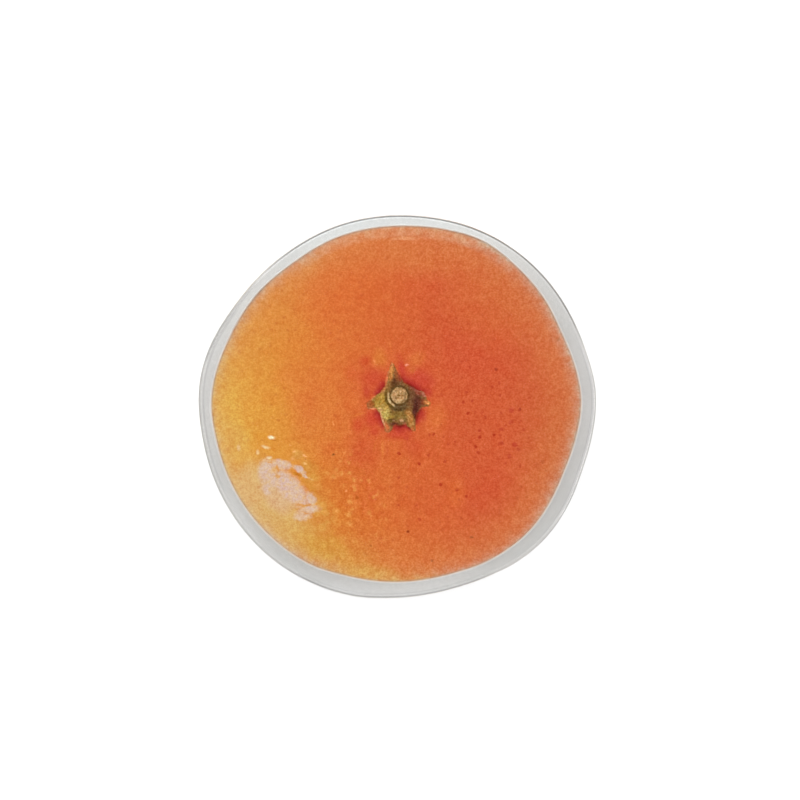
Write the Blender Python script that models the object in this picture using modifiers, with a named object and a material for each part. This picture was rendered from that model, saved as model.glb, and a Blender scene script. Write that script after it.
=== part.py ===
"""Fridge magnet: a clear acrylic plate cut round a printed picture of a mandarin orange.

The magnet lies face up. Its origin is the middle of its box, on the surface it lies on.
+Z is the direction the picture faces, and +Y is the top of the picture.
"""
from math import cos, radians, sin, tau

import bpy

MM = 0.001

# Driving sizes
PLATE_WIDTH = 56.0 * MM
PLATE_THICKNESS = 3.0 * MM
PLATE_ROUNDING = 0.5 * MM
INK_THICKNESS = 0.15 * MM
WHITE_EDGE = 0.15 * MM
TAPE_RADIUS = 9.0 * MM
TAPE_THICKNESS = 0.6 * MM
MAGNET_RADIUS = 10.0 * MM
MAGNET_THICKNESS = 3.0 * MM
MAGNET_CHAMFER = 0.3 * MM
LAYER_GAP = 0.2 * MM

# How finely round edges are divided
OUTLINE_STEPS = 192
ROUND_STEPS = 72
ROUNDING_STEPS = 3
SHARP_ANGLE = radians(30)
FLAT_ANGLE = radians(0.5)
WELD_DISTANCE = 0.001 * MM

# The cut edge of the plate, as (angle in degrees from +X towards +Y, radius in millimetres)
PLATE_OUTLINE = (
    (4, 27.9), (18, 27.55), (44, 27.55), (62, 27.4), (86, 26.95), (108, 26.85),
    (128, 26.7), (148, 27.0), (164, 27.85), (174, 28.1), (190, 27.85), (228, 27.85),
    (246, 27.65), (258, 27.4), (268, 27.0), (285, 26.8), (298, 27.1), (308, 27.6),
    (318, 27.85), (330, 27.7), (341, 27.45), (350, 27.6),
)

# The edge of the picture, read in the same way about the same middle
PICTURE_OUTLINE = (
    (2, 25.85), (24, 25.3), (36, 25.6), (50, 25.85), (63, 26.2), (75, 25.8),
    (88, 25.45), (110, 25.3), (126, 25.05), (142, 25.4), (158, 25.65), (177, 26.3),
    (192, 26.0), (208, 25.85), (228, 25.65), (242, 25.45), (252, 25.0), (265, 24.8),
    (287, 24.75), (300, 25.2), (317, 25.5), (338, 25.15), (350, 25.45),
)

# Heights of the layers' lower faces, from the surface up
TAPE_BOTTOM = MAGNET_THICKNESS + LAYER_GAP
WHITE_BOTTOM = TAPE_BOTTOM + TAPE_THICKNESS + LAYER_GAP
PICTURE_BOTTOM = WHITE_BOTTOM + INK_THICKNESS + LAYER_GAP
PLATE_BOTTOM = PICTURE_BOTTOM + INK_THICKNESS + LAYER_GAP

# Colour, roughness, metallic value and see-through share of each material
MATERIALS = {
    "clear_acrylic": ((0.86, 0.88, 0.88), 0.05, 0.0, 1.0),
    "picture_ink": ((0.72, 0.17, 0.04), 0.4, 0.0, 0.0),
    "white_ink": ((0.86, 0.85, 0.82), 0.5, 0.0, 0.0),
    "foam_tape": ((0.80, 0.80, 0.78), 0.9, 0.0, 0.0),
    "ferrite": ((0.045, 0.045, 0.048), 0.55, 0.0, 0.0),
}


def clear_scene():
    """Remove every object of the open file."""
    for item in list(bpy.data.objects):
        bpy.data.objects.remove(item)


def make_material(name):
    """Make the named Principled material."""
    colour, roughness, metallic, see_through = MATERIALS[name]
    material = bpy.data.materials.new(name)
    material.use_nodes = True
    shader = material.node_tree.nodes["Principled BSDF"]
    shader.inputs["Base Color"].default_value = (*colour, 1.0)
    shader.inputs["Roughness"].default_value = roughness
    shader.inputs["Metallic"].default_value = metallic
    shader.inputs["Transmission Weight"].default_value = see_through
    return material


def radius_at(outline, angle):
    """Radius at an angle in degrees, on a smooth closed curve through the outline's points."""
    count = len(outline)
    before = max((i for i in range(count) if outline[i][0] <= angle), default=-1)
    points = []
    for step in (-1, 0, 1, 2):
        turn, index = divmod(before + step, count)
        points.append((outline[index][0] + 360 * turn, outline[index][1]))
    (a0, r0), (a1, r1), (a2, r2), (a3, r3) = points
    span = a2 - a1
    slope_in = (r2 - r0) / (a2 - a0) * span
    slope_out = (r3 - r1) / (a3 - a1) * span
    t = (angle - a1) / span
    start = (1 + 2 * t) * (1 - t) ** 2 * r1 + t * (1 - t) ** 2 * slope_in
    end = t ** 2 * (3 - 2 * t) * r2 + t ** 2 * (t - 1) * slope_out
    return start + end


def outline_points(outline):
    """Evenly turned points of an outline, in millimetres about its own middle."""
    points = []
    for step in range(OUTLINE_STEPS):
        angle = 360 * step / OUTLINE_STEPS
        radius = radius_at(outline, angle)
        points.append((radius * cos(radians(angle)), radius * sin(radians(angle))))
    return points


def grown(points, margin):
    """The closed outline moved outwards by a margin, square to its own edge."""
    moved = []
    for i, (x, y) in enumerate(points):
        x0, y0 = points[i - 1]
        x1, y1 = points[(i + 1) % len(points)]
        length = ((x1 - x0) ** 2 + (y1 - y0) ** 2) ** 0.5
        moved.append((x + margin * (y1 - y0) / length, y - margin * (x1 - x0) / length))
    return moved


def place_outlines():
    """Both outlines in metres, with the plate at its full width and its box about the origin."""
    plate = outline_points(PLATE_OUTLINE)
    picture = outline_points(PICTURE_OUTLINE)
    xs = [x for x, y in plate]
    ys = [y for x, y in plate]
    middle_x = (max(xs) + min(xs)) / 2
    middle_y = (max(ys) + min(ys)) / 2
    scale = PLATE_WIDTH / (max(xs) - min(xs))

    def placed(points):
        return [((x - middle_x) * scale, (y - middle_y) * scale) for x, y in points]

    return placed(plate), placed(picture)


def add_to(collection, item, material_name):
    """Put an object in a collection and give it its own material."""
    for other in list(item.users_collection):
        other.objects.unlink(item)
    collection.objects.link(item)
    item.data.materials.append(make_material(material_name))


def flat_sheet(collection, name, points, bottom, thickness, material_name):
    """A flat piece of the given outline, as a filled curve with its thickness."""
    curve = bpy.data.curves.new(name, "CURVE")
    curve.dimensions = "2D"
    curve.fill_mode = "BOTH"
    curve.render_resolution_u = 0
    curve.extrude = thickness / 2
    spline = curve.splines.new("POLY")
    spline.points.add(len(points) - 1)
    for point, (x, y) in zip(spline.points, points):
        point.co = (x, y, 0.0, 1.0)
    spline.use_cyclic_u = True
    item = bpy.data.objects.new(name, curve)
    item.location.z = bottom + thickness / 2
    weld = item.modifiers.new("join_faces", "WELD")
    weld.merge_threshold = WELD_DISTANCE
    add_to(collection, item, material_name)
    return item


def disc(collection, name, radius, bottom, thickness, material_name):
    """A round flat piece about the middle of the plate."""
    bpy.ops.mesh.primitive_cylinder_add(
        vertices=ROUND_STEPS,
        radius=radius,
        depth=thickness,
        location=(0.0, 0.0, bottom + thickness / 2),
    )
    item = bpy.context.active_object
    item.name = name
    item.data.name = name
    item.data.shade_smooth()
    item.data.set_sharp_from_angle(angle=SHARP_ANGLE)
    add_to(collection, item, material_name)
    return item


def round_edges(item, width, steps):
    """Round every sharp edge of a piece, once each flat side is a single face."""
    merge = item.modifiers.new("whole_flats", "DECIMATE")
    merge.decimate_type = "DISSOLVE"
    merge.angle_limit = FLAT_ANGLE
    bevel = item.modifiers.new("round_edges", "BEVEL")
    bevel.limit_method = "ANGLE"
    bevel.angle_limit = SHARP_ANGLE
    bevel.width = width
    bevel.segments = steps


def build():
    """Make the magnet's pieces, from the steel it holds on to up to the face that is seen."""
    clear_scene()
    collection = bpy.data.collections.new("mandarin_picture_magnet")
    bpy.context.scene.collection.children.link(collection)
    plate_points, picture_points = place_outlines()

    magnet = disc(collection, "disc_magnet", MAGNET_RADIUS, 0.0, MAGNET_THICKNESS, "ferrite")
    round_edges(magnet, MAGNET_CHAMFER, 1)
    disc(collection, "tape_pad", TAPE_RADIUS, TAPE_BOTTOM, TAPE_THICKNESS, "foam_tape")

    white_points = grown(picture_points, WHITE_EDGE)
    flat_sheet(collection, "white_backing", white_points, WHITE_BOTTOM, INK_THICKNESS, "white_ink")
    flat_sheet(
        collection, "printed_picture", picture_points, PICTURE_BOTTOM, INK_THICKNESS, "picture_ink"
    )

    plate = flat_sheet(
        collection, "clear_plate", plate_points, PLATE_BOTTOM, PLATE_THICKNESS, "clear_acrylic"
    )
    round_edges(plate, PLATE_ROUNDING, ROUNDING_STEPS)


build()
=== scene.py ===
"""Looks of a printed fridge magnet: a clear acrylic plate over a picture of a mandarin orange."""
from math import atan2, cos, hypot, pi, radians, sin, tau

import bpy
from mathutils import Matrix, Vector, kdtree, noise


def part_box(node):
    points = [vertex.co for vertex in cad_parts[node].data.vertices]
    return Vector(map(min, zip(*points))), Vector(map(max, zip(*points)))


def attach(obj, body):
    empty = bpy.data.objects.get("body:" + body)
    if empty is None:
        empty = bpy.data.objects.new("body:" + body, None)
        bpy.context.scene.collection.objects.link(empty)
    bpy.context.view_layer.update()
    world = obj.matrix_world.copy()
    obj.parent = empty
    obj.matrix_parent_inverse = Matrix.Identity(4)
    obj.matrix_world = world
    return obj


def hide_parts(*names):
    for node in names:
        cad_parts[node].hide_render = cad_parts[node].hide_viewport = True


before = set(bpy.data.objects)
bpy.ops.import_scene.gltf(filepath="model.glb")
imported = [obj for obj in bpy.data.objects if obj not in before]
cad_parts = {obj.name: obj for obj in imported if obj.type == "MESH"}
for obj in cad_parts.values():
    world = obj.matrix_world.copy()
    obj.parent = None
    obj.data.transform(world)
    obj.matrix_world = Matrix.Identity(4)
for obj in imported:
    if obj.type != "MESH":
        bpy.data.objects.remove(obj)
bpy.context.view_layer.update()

MM = 0.001
BODY = "root"

# The photo's frame, in its own pixels, and the middle of the plate in it
PHOTO_SIDE = 800
PLATE_ACROSS_IN_PHOTO = 398
PLATE_MIDDLE_IN_PHOTO = (397.3, 406.6)

# Outlines and flat slabs
OUTLINE_STEPS = 576
STEP_PARTS = 4
BLANK_RADIUS = 28 * MM
SMOOTH_ANGLE = radians(35)
FLAT_NORMAL = 0.99
LEVEL_TOLERANCE = 0.001 * MM

# The plate, and rings in its margin by their share of the way in to the picture
PLATE_ROUNDING = 0.5 * MM
ROUNDING_STEPS = 8
HOLDING_LOOP = 0.03
MARGIN_RINGS = (0.1, 0.2, 0.35, 0.5, 0.65, 0.8, 0.9)
INNER_RING = 0.5

# The ink layers, and rings of the picture in millimetres from its edge
FILM_CLEARANCE = 0.02 * MM
FILM_RINGS = (0.1, 0.25, 0.45, 0.7, 1.0, 1.4, 1.8, 2.3, 3.0, 4.0, 5.5, 8.0, 11.0, 15.0)

# The foam pad and the magnet
DISC_STEPS = 288
TAPE_CUTS = 5
TAPE_WAIST = 0.07 * MM
TAPE_ROUGHNESS = 0.02 * MM
TAPE_LUMP = 0.8 * MM
MAGNET_CHAMFER = 0.3 * MM
CHAMFER_STEPS = 3
CHIP_FALL = 0.7

# Chips in the magnet's rims: angle, whether in the upper one, width and depth in millimetres
CHIPS = (
    (28, True, 0.9, 0.35),
    (141, False, 1.2, 0.45),
    (205, True, 0.6, 0.25),
    (263, False, 0.8, 0.3),
    (318, True, 0.7, 0.3),
)


# Helpers for modelling


def leave_edit_mode():
    """Go back to object mode."""
    bpy.ops.object.mode_set(mode="OBJECT")


def deselect_objects():
    """Start with nothing selected, because an operator works on all that is."""
    for item in bpy.context.selected_objects:
        item.select_set(False)


def make_active(item):
    """Select one object alone."""
    deselect_objects()
    item.select_set(True)
    bpy.context.view_layer.objects.active = item


def edit_faces(item, chosen):
    """Enter edit mode with only the faces selected that pass the test."""
    make_active(item)
    bpy.ops.object.mode_set(mode="EDIT")
    bpy.ops.mesh.select_mode(type="FACE")
    bpy.ops.mesh.select_all(action="DESELECT")
    leave_edit_mode()
    for face in item.data.polygons:
        face.select = chosen(face)
    bpy.ops.object.mode_set(mode="EDIT")


def edit_edges(item, chosen):
    """Enter edit mode with only the edges selected whose two ends pass the test."""
    make_active(item)
    bpy.ops.object.mode_set(mode="EDIT")
    bpy.ops.mesh.select_mode(type="EDGE")
    bpy.ops.mesh.select_all(action="DESELECT")
    leave_edit_mode()
    points = item.data.vertices
    for edge in item.data.edges:
        edge.select = chosen(points[edge.vertices[0]].co, points[edge.vertices[1]].co)
    bpy.ops.object.mode_set(mode="EDIT")


def turn_faces_out(item):
    """Make every face point outwards."""
    make_active(item)
    bpy.ops.object.mode_set(mode="EDIT")
    bpy.ops.mesh.select_all(action="SELECT")
    bpy.ops.mesh.normals_make_consistent(inside=False)
    leave_edit_mode()


def smooth(item):
    """Shade round faces smooth and keep sharp edges sharp."""
    make_active(item)
    bpy.ops.object.shade_smooth_by_angle(angle=SMOOTH_ANGLE)


def cut_line(node):
    """The outer edge of a flat CAD node as a smooth closed line, evenly turned about the middle."""
    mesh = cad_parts[node].data
    widest = max((vertex.co for vertex in mesh.vertices), key=lambda place: place.x)
    corners = sorted({
        (round(atan2(vertex.co.y, vertex.co.x), 5), round(hypot(vertex.co.x, vertex.co.y), 8))
        for vertex in mesh.vertices
        if abs(vertex.co.z - widest.z) < LEVEL_TOLERANCE
    })
    corners = [(corners[i][0] - tau, corners[i][1]) for i in (-2, -1)] + corners
    corners += [(corners[i][0] + tau, corners[i][1]) for i in (2, 3, 4)]
    line = []
    start = 1
    for step in range(OUTLINE_STEPS):
        angle = -pi + tau * step / OUTLINE_STEPS
        while corners[start + 1][0] <= angle:
            start += 1
        (a0, r0), (a1, r1), (a2, r2), (a3, r3) = corners[start - 1:start + 3]
        span = a2 - a1
        slope_in = (r2 - r0) / (a2 - a0) * span
        slope_out = (r3 - r1) / (a3 - a1) * span
        t = (angle - a1) / span
        radius = (1 + 2 * t) * (1 - t) ** 2 * r1 + t * (1 - t) ** 2 * slope_in
        radius += t ** 2 * (3 - 2 * t) * r2 + t ** 2 * (t - 1) * slope_out
        line.append(Vector((radius * cos(angle), radius * sin(angle))))
    return line


def on_line(line, place):
    """The point of an evenly turned line at the same angle as a place."""
    turned = (atan2(place.y, place.x) + pi) / tau
    return line[round(turned * OUTLINE_STEPS) % OUTLINE_STEPS]


def slab(name, outline, bottom, top):
    """A flat slab cut to an outline: a filled circle pulled on to it, then extruded."""
    deselect_objects()
    bpy.ops.mesh.primitive_circle_add(
        vertices=OUTLINE_STEPS, radius=BLANK_RADIUS, fill_type="NGON", location=(0.0, 0.0, bottom)
    )
    item = bpy.context.active_object
    item.name = name
    bpy.ops.object.transform_apply(location=True, rotation=True, scale=True)
    for vertex in item.data.vertices:
        vertex.co.xy = on_line(outline, vertex.co)
    bpy.ops.object.mode_set(mode="EDIT")
    bpy.ops.mesh.select_all(action="SELECT")
    bpy.ops.mesh.extrude_region_move(TRANSFORM_OT_translate={"value": (0.0, 0.0, top - bottom)})
    leave_edit_mode()
    turn_faces_out(item)
    return item


def select_flat(item, up):
    """Select the one large flat face that looks up or down."""
    flat = [face for face in item.data.polygons if face.normal.z * up > FLAT_NORMAL]
    largest = max(flat, key=lambda face: face.area).index
    edit_faces(item, lambda face: face.index == largest)


def add_rings(item, up, lines):
    """Divide the large flat face by rings that lie on the given lines, from outside in."""
    for line in lines:
        select_flat(item, up)
        bpy.ops.mesh.extrude_region_move()
        leave_edit_mode()
        for vertex in item.data.vertices:
            if vertex.select:
                vertex.co.xy = on_line(line, vertex.co)


def between(outer, inner, share):
    """A line between two lines."""
    return [start.lerp(end, share) for start, end in zip(outer, inner)]


def shrunk(line, width):
    """A line moved towards the middle by a width in millimetres."""
    return [place * (1 - width * MM / place.length) for place in line]


def add_distance(item, name, line):
    """Note at every point of a piece how far it lies from a line, in millimetres."""
    tree = kdtree.KDTree(len(line) * STEP_PARTS)
    for index, start in enumerate(line):
        end = line[(index + 1) % len(line)]
        for part in range(STEP_PARTS):
            place = start.lerp(end, part / STEP_PARTS)
            tree.insert((place.x, place.y, 0.0), index)
    tree.balance()
    note = item.data.attributes.new(name, "FLOAT", "POINT")
    for vertex in item.data.vertices:
        note.data[vertex.index].value = tree.find((vertex.co.x, vertex.co.y, 0.0))[2] / MM


def disc(name, node):
    """A round slab in the place of a round CAD node."""
    low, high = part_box(node)
    deselect_objects()
    bpy.ops.mesh.primitive_cylinder_add(
        vertices=DISC_STEPS,
        radius=(high.x - low.x) / 2,
        depth=high.z - low.z,
        location=(low + high) / 2,
    )
    item = bpy.context.active_object
    item.name = name
    bpy.ops.object.transform_apply(location=True, rotation=True, scale=True)
    return item


def at_height(height):
    """A test for edges that lie at one height."""
    def chosen(start, end):
        return abs(start.z - height) < LEVEL_TOLERANCE and abs(end.z - height) < LEVEL_TOLERANCE

    return chosen


def round_rim(item, height, width, steps):
    """Round the rim of a flat face at one height."""
    edit_edges(item, at_height(height))
    bpy.ops.mesh.bevel(offset=width, segments=steps, profile=0.5, affect="EDGES")
    leave_edit_mode()


def finish_piece(item, node, material):
    """Give a piece its material and its place in the frame."""
    item.data.materials.clear()
    item.data.materials.append(material)
    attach(item, BODY)
    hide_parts(node)


# Helpers for materials


def daylight(red, green, blue):
    """A colour as it looks on screen, from 0 to 255, turned into the light that it stands for."""
    linear = []
    for value in (red, green, blue):
        share = value / 255
        linear.append(share / 12.92 if share <= 0.04045 else ((share + 0.055) / 1.055) ** 2.4)
    return (*linear, 1.0)


# Half height of a patch, so great that it is the same through the whole plate
PATCH_DEPTH = 1e6


class Recipe:
    """A material's nodes, added one after another."""

    def __init__(self, name, middle=(0.0, 0.0)):
        self.material = bpy.data.materials.new(name)
        self.material.use_nodes = True
        self.tree = self.material.node_tree
        self.shader = self.tree.nodes["Principled BSDF"]
        texture = self.tree.nodes.new("ShaderNodeTexCoord")
        self.place = self.add("Mapping", texture.outputs["Object"], scale=(1 / MM,) * 3,
                              location=(-middle[0], -middle[1], 0.0))

    def add(self, kind, *inputs, out=0, scale=None, location=None, rotation=None, **settings):
        """Add a node, feed its inputs in order and give back one of its outputs."""
        made = self.tree.nodes.new("ShaderNode" + kind)
        for name, value in settings.items():
            setattr(made, name, value)
        for socket, value in zip(made.inputs, inputs):
            self.feed(socket, value)
        for name, value in (("Scale", scale), ("Location", location), ("Rotation", rotation)):
            if value is not None:
                self.feed(made.inputs[name], value)
        return made.outputs[out]

    def feed(self, socket, value):
        """Link an output to a socket, or set the socket's own value."""
        if value is None:
            return
        if isinstance(value, bpy.types.NodeSocket):
            self.tree.links.new(value, socket)
        else:
            socket.default_value = value

    def set(self, **values):
        """Set the shader's sockets by name, with _ for a space."""
        for name, value in values.items():
            self.feed(self.shader.inputs[name.replace("_", " ")], value)

    def attribute(self, name):
        """A number noted at the points of the piece."""
        return self.add("Attribute", attribute_name=name, out="Fac")

    def maths(self, operation, *values):
        """A sum on numbers."""
        return self.add("Math", *values, operation=operation)

    def times(self, first, second):
        """The product of two numbers."""
        return self.maths("MULTIPLY", first, second)

    def ease(self, value, low, high, start=0.0, end=1.0):
        """A soft step from start to end as the value goes from low to high."""
        return self.add(
            "MapRange", value, low, high, start, end, interpolation_type="SMOOTHSTEP"
        )

    def line(self, value, low, high, start=0.0, end=1.0):
        """A straight step from start to end as the value goes from low to high."""
        return self.add("MapRange", value, low, high, start, end)

    def stroke(self, value, at, half):
        """1 where the value is at a number, falling softly to 0 at half a stroke's width away."""
        away = self.maths("ABSOLUTE", self.maths("SUBTRACT", value, at))
        return self.ease(away, half, 0.3 * half)

    def mix(self, share, under, over, blend="MIX"):
        """One colour over another."""
        made = self.tree.nodes.new("ShaderNodeMix")
        made.data_type = "RGBA"
        made.blend_type = blend
        for index, value in ((0, share), (6, under), (7, over)):
            self.feed(made.inputs[index], value)
        return made.outputs[2]

    def cloud(self, size, detail=2.0, place=None, out=0):
        """Smooth noise with lumps of about the given size in millimetres, from 0 to 1."""
        return self.add("TexNoise", place or self.place, None, 1 / size, detail, out=out)

    def cells(self, size, place=None):
        """Distance to the nearest of scattered points."""
        return self.add("TexVoronoi", place or self.place, None, 1 / size)

    def shaken(self, amount, size, detail=1.0):
        """The place, pushed about by noise, so that what reads it gets a ragged edge."""
        push = self.add("VectorMath", self.cloud(size, detail, out=1), (0.5, 0.5, 0.5),
                        operation="SUBTRACT")
        push = self.add("VectorMath", push, operation="SCALE", scale=2 * amount)
        return self.add("VectorMath", self.place, push, operation="ADD")

    def patch(self, x, y, across, along, turn=0.0, strength=1.0, core=0.0, place=None):
        """A soft oval in millimetres about the plate's middle, 0 outside and its strength inside.

        across and along are its half sizes, turn is its angle, and core the share that is full.
        """
        oval = self.add("Mapping", place or self.place, vector_type="TEXTURE", location=(x, y, 0),
                        rotation=(0, 0, radians(turn)), scale=(across, along, PATCH_DEPTH))
        depth = self.add("TexGradient", oval, gradient_type="SPHERICAL", out="Fac")
        return self.ease(depth, 0.0, 1.0 - core, 0.0, strength)

    def lighten(self, colour, value, shares):
        """Lighten or darken red, green and blue by a number from -1 to 1 times their shares."""
        light = self.add("VectorMath", value, shares, (1.0,) * 3, operation="MULTIPLY_ADD")
        return self.mix(1.0, colour, light, "MULTIPLY")

    def lay(self, colour, marks, core=0.0, place=None):
        """Lay soft ovals of colour over a colour, one after another."""
        for x, y, across, along, turn, tint, strength in marks:
            share = self.patch(x, y, across, along, turn, strength, core, place)
            colour = self.mix(share, colour, daylight(*tint))
        return colour

    def curve(self, value, points):
        """A curve through (from 0 to 1, from 0 to 1) points."""
        made = self.tree.nodes.new("ShaderNodeFloatCurve")
        self.feed(made.inputs["Value"], value)
        line = made.mapping.curves[0]
        line.points[0].location = points[0]
        line.points[1].location = points[-1]
        for point in points[1:-1]:
            line.points.new(*point)
        made.mapping.update()
        return made.outputs[0]

    def ramp(self, value, stops):
        """Colours along a number from 0 to 1."""
        made = self.tree.nodes.new("ShaderNodeValToRGB")
        self.feed(made.inputs[0], value)
        line = made.color_ramp
        line.elements[0].position = stops[0][0]
        line.elements[0].color = stops[0][1]
        line.elements[1].position = stops[-1][0]
        line.elements[1].color = stops[-1][1]
        for position, colour in stops[1:-1]:
            line.elements.new(position).color = colour
        return made.outputs[0]

    def bump(self, height, strength, distance):
        """Relief of a height in millimetres at full strength."""
        self.set(Normal=self.add("Bump", strength, distance * MM, None, height))


# The picture: a mandarin seen from above, laid down as inks from the peel's ground colour up.
# Marks are x, y, half width, half height, turn, colour and strength, in millimetres and degrees.


# Middle of the marks on the plate, in millimetres
PICTURE_MIDDLE = (0.06, 0.08)

# The peel's ground colours along its slant, from the red side to the golden one
PEEL_SLANT = radians(190)
PEEL_GROUND = (
    (-26, (208, 96, 61)),
    (-8, (212, 97, 58)),
    (0, (216, 108, 57)),
    (8, (220, 121, 59)),
    (16, (223, 146, 63)),
    (22, (227, 166, 70)),
    (27, (228, 178, 75)),
)

PEEL_TINTS = (
    (11, 8, 10, 8, 20, (211, 89, 57), 0.7),
    (13.8, -13.2, 5.5, 6.5, 0, (209, 87, 55), 0.62),
    (8, -12, 2.6, 3.2, 0, (221, 112, 58), 0.7),
    (-4.5, -12.5, 3, 3.8, 0, (217, 100, 57), 0.6),
    (-15.5, 4.2, 3.2, 2.8, 0, (222, 130, 62), 0.7),
    (-12.5, 0.5, 4, 8.5, -8, (220, 118, 60), 0.6),
    (-10, -6, 2.8, 2.4, 0, (219, 113, 56), 0.6),
    (1, 20.8, 14, 3.8, 0, (217, 122, 68), 0.6),
    (-12, 20.4, 4.5, 2.8, 35, (222, 158, 90), 0.5),
    (-4.5, -20.6, 3.2, 2.2, 0, (218, 136, 61), 0.6),
    (20, -3, 6, 13, 5, (206, 100, 60), 0.5),
    (-7, 17, 10, 6, 15, (221, 112, 57), 0.5),
    (-12, -18, 9, 6, -25, (217, 147, 60), 0.8),
    (-2, -19, 8, 4.5, -5, (217, 120, 59), 0.5),
    (-24.5, -2, 5, 13, 8, (231, 188, 82), 0.98),
    (5.5, -8, 5, 4, 0, (219, 106, 57), 0.4),
    (-4.5, -6, 4, 6, 0, (212, 91, 54), 0.75),
    (2.5, -6, 3.2, 2.4, 0, (211, 89, 54), 0.7),
    (-6.2, 5, 2.4, 2.6, 0, (214, 94, 52), 0.6),
)

# The hollow round the calyx
HOLLOW_TINTS = (
    (-0.27, 1.42, 8.97, 8.08, 0, (213, 91, 57), 0.7),
    (-2.6, 6.7, 1.7, 2.3, 12, (219, 126, 60), 0.85),
    (2.51, 6.35, 1.53, 2.33, -35, (218, 116, 60), 0.8),
    (5.29, -1.63, 2.69, 2.96, -20, (221, 116, 61), 0.8),
    (-6.7, 0.6, 1.6, 2, 0, (220, 114, 56), 0.6),
    (-5.6, -2.6, 1.4, 1.9, 0, (213, 88, 52), 0.8),
    (-4.6, 6.3, 1.4, 1.3, 0, (208, 85, 48), 0.85),
    (-4.4, 2, 1, 1.4, 0, (199, 74, 50), 0.85),
    (-3.2, -3.7, 1.2, 1, 0, (208, 80, 52), 0.8),
    (0.1, 7.1, 0.8, 0.9, 0, (207, 85, 50), 0.75),
    (-3.5, 3.9, 3, 2.6, 0, (207, 80, 54), 0.8),
    (-3.5, -1.81, 2.06, 2.24, 20, (209, 78, 55), 0.9),
    (3.2, 3.7, 3.6, 2.4, -20, (205, 76, 56), 0.9),
    (0.27, -3.96, 3.1, 1.3, 0, (208, 78, 55), 0.9),
    (0.6, 5.2, 0.8, 2, 10, (202, 72, 53), 0.9),
    (4.3, 1.9, 0.9, 1.2, 20, (198, 72, 54), 0.85),
    (2.1, 5.1, 0.7, 0.8, -30, (216, 118, 64), 0.7),
    (3.6, -1.3, 0.9, 1.8, -10, (200, 78, 54), 0.8),
)

# Fine folds of the peel that run away from the calyx
FOLDS = (
    (-2.2, -6.3, 0.3, 2.4, 0, (227, 134, 68), 0.6),
    (-1.5, -6, 0.2, 1.6, 4, (202, 84, 50), 0.45),
    (-3.2, -5.6, 0.25, 1.5, -14, (224, 126, 62), 0.5),
    (-0.5, -5.8, 0.2, 1.5, 2, (222, 112, 64), 0.4),
    (1.4, -5.4, 0.2, 1.3, 12, (203, 82, 52), 0.4),
    (4.9, -3.6, 1.5, 0.16, -22, (228, 130, 78), 0.5),
    (5.6, -2.4, 1.6, 0.18, -10, (226, 128, 70), 0.45),
    (6.2, 1.4, 1.5, 0.2, 8, (206, 82, 54), 0.4),
    (-5.6, -1.2, 1.7, 0.22, 14, (226, 132, 62), 0.55),
    (-6, 2.4, 1.8, 0.2, -12, (205, 90, 50), 0.4),
    (-4.9, 5.6, 0.2, 1.6, 42, (206, 86, 52), 0.4),
    (3.6, 7, 0.2, 1.7, -26, (226, 124, 66), 0.45),
    (-1, 8.4, 0.22, 1.6, 6, (224, 122, 60), 0.4),
)

# Where the calyx casts a dark red shade on the peel along its own edge, with the strength last
SHADE_ZONES = (
    (2.3, 3.3, 2.9, 1.5, -38, 1),
    (-2.7, 2.6, 1.7, 1.3, 42, 1),
    (-2.7, -2, 1.2, 2.1, 15, 0.95),
    (0.6, -3.2, 2, 1, 0, 0.95),
    (2.9, -1.4, 1.2, 1.8, -10, 0.85),
    (3.6, 2, 0.8, 0.8, 0, 0.4),
)
SHADE_TINT = (182, 54, 48)
CREASE_TINT = (124, 38, 28)

# The calyx: a ragged star round the cut stalk, as (degrees, millimetres) about the stalk
STALK = (0.21, 1.44)
STAR_REACH = 6.0
STAR_EDGE = (
    (-180, 3.35), (-177.5, 3.53), (-170, 4.31), (-164, 4.75), (-158, 4.77), (-153, 3.95),
    (-149, 3.66), (-138, 3.66), (-126, 4.02), (-115, 4.79), (-110, 5.45), (-104, 5.25),
    (-101, 4.36), (-97, 4.13), (-90, 4.19), (-84, 4.12), (-78, 4.06), (-75, 4.39), (-70, 4.98),
    (-67, 5.45), (-61.5, 4.72), (-54, 4.03), (-47.5, 3.67), (-37, 3.45), (-27, 3.59),
    (-23.5, 3.88), (-14, 4.5), (-9, 4.05), (0, 3.74), (10.5, 3.35), (21, 2.46), (45, 1.99),
    (63, 1.89), (79, 2.26), (89, 2.85), (97, 3.78), (100, 4.58), (102.4, 4.76), (106.5, 4.38),
    (113, 3.78), (125, 3.04), (136, 2.55), (151, 2.35), (163.5, 2.47), (175, 3), (180, 3.35),
)

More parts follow.
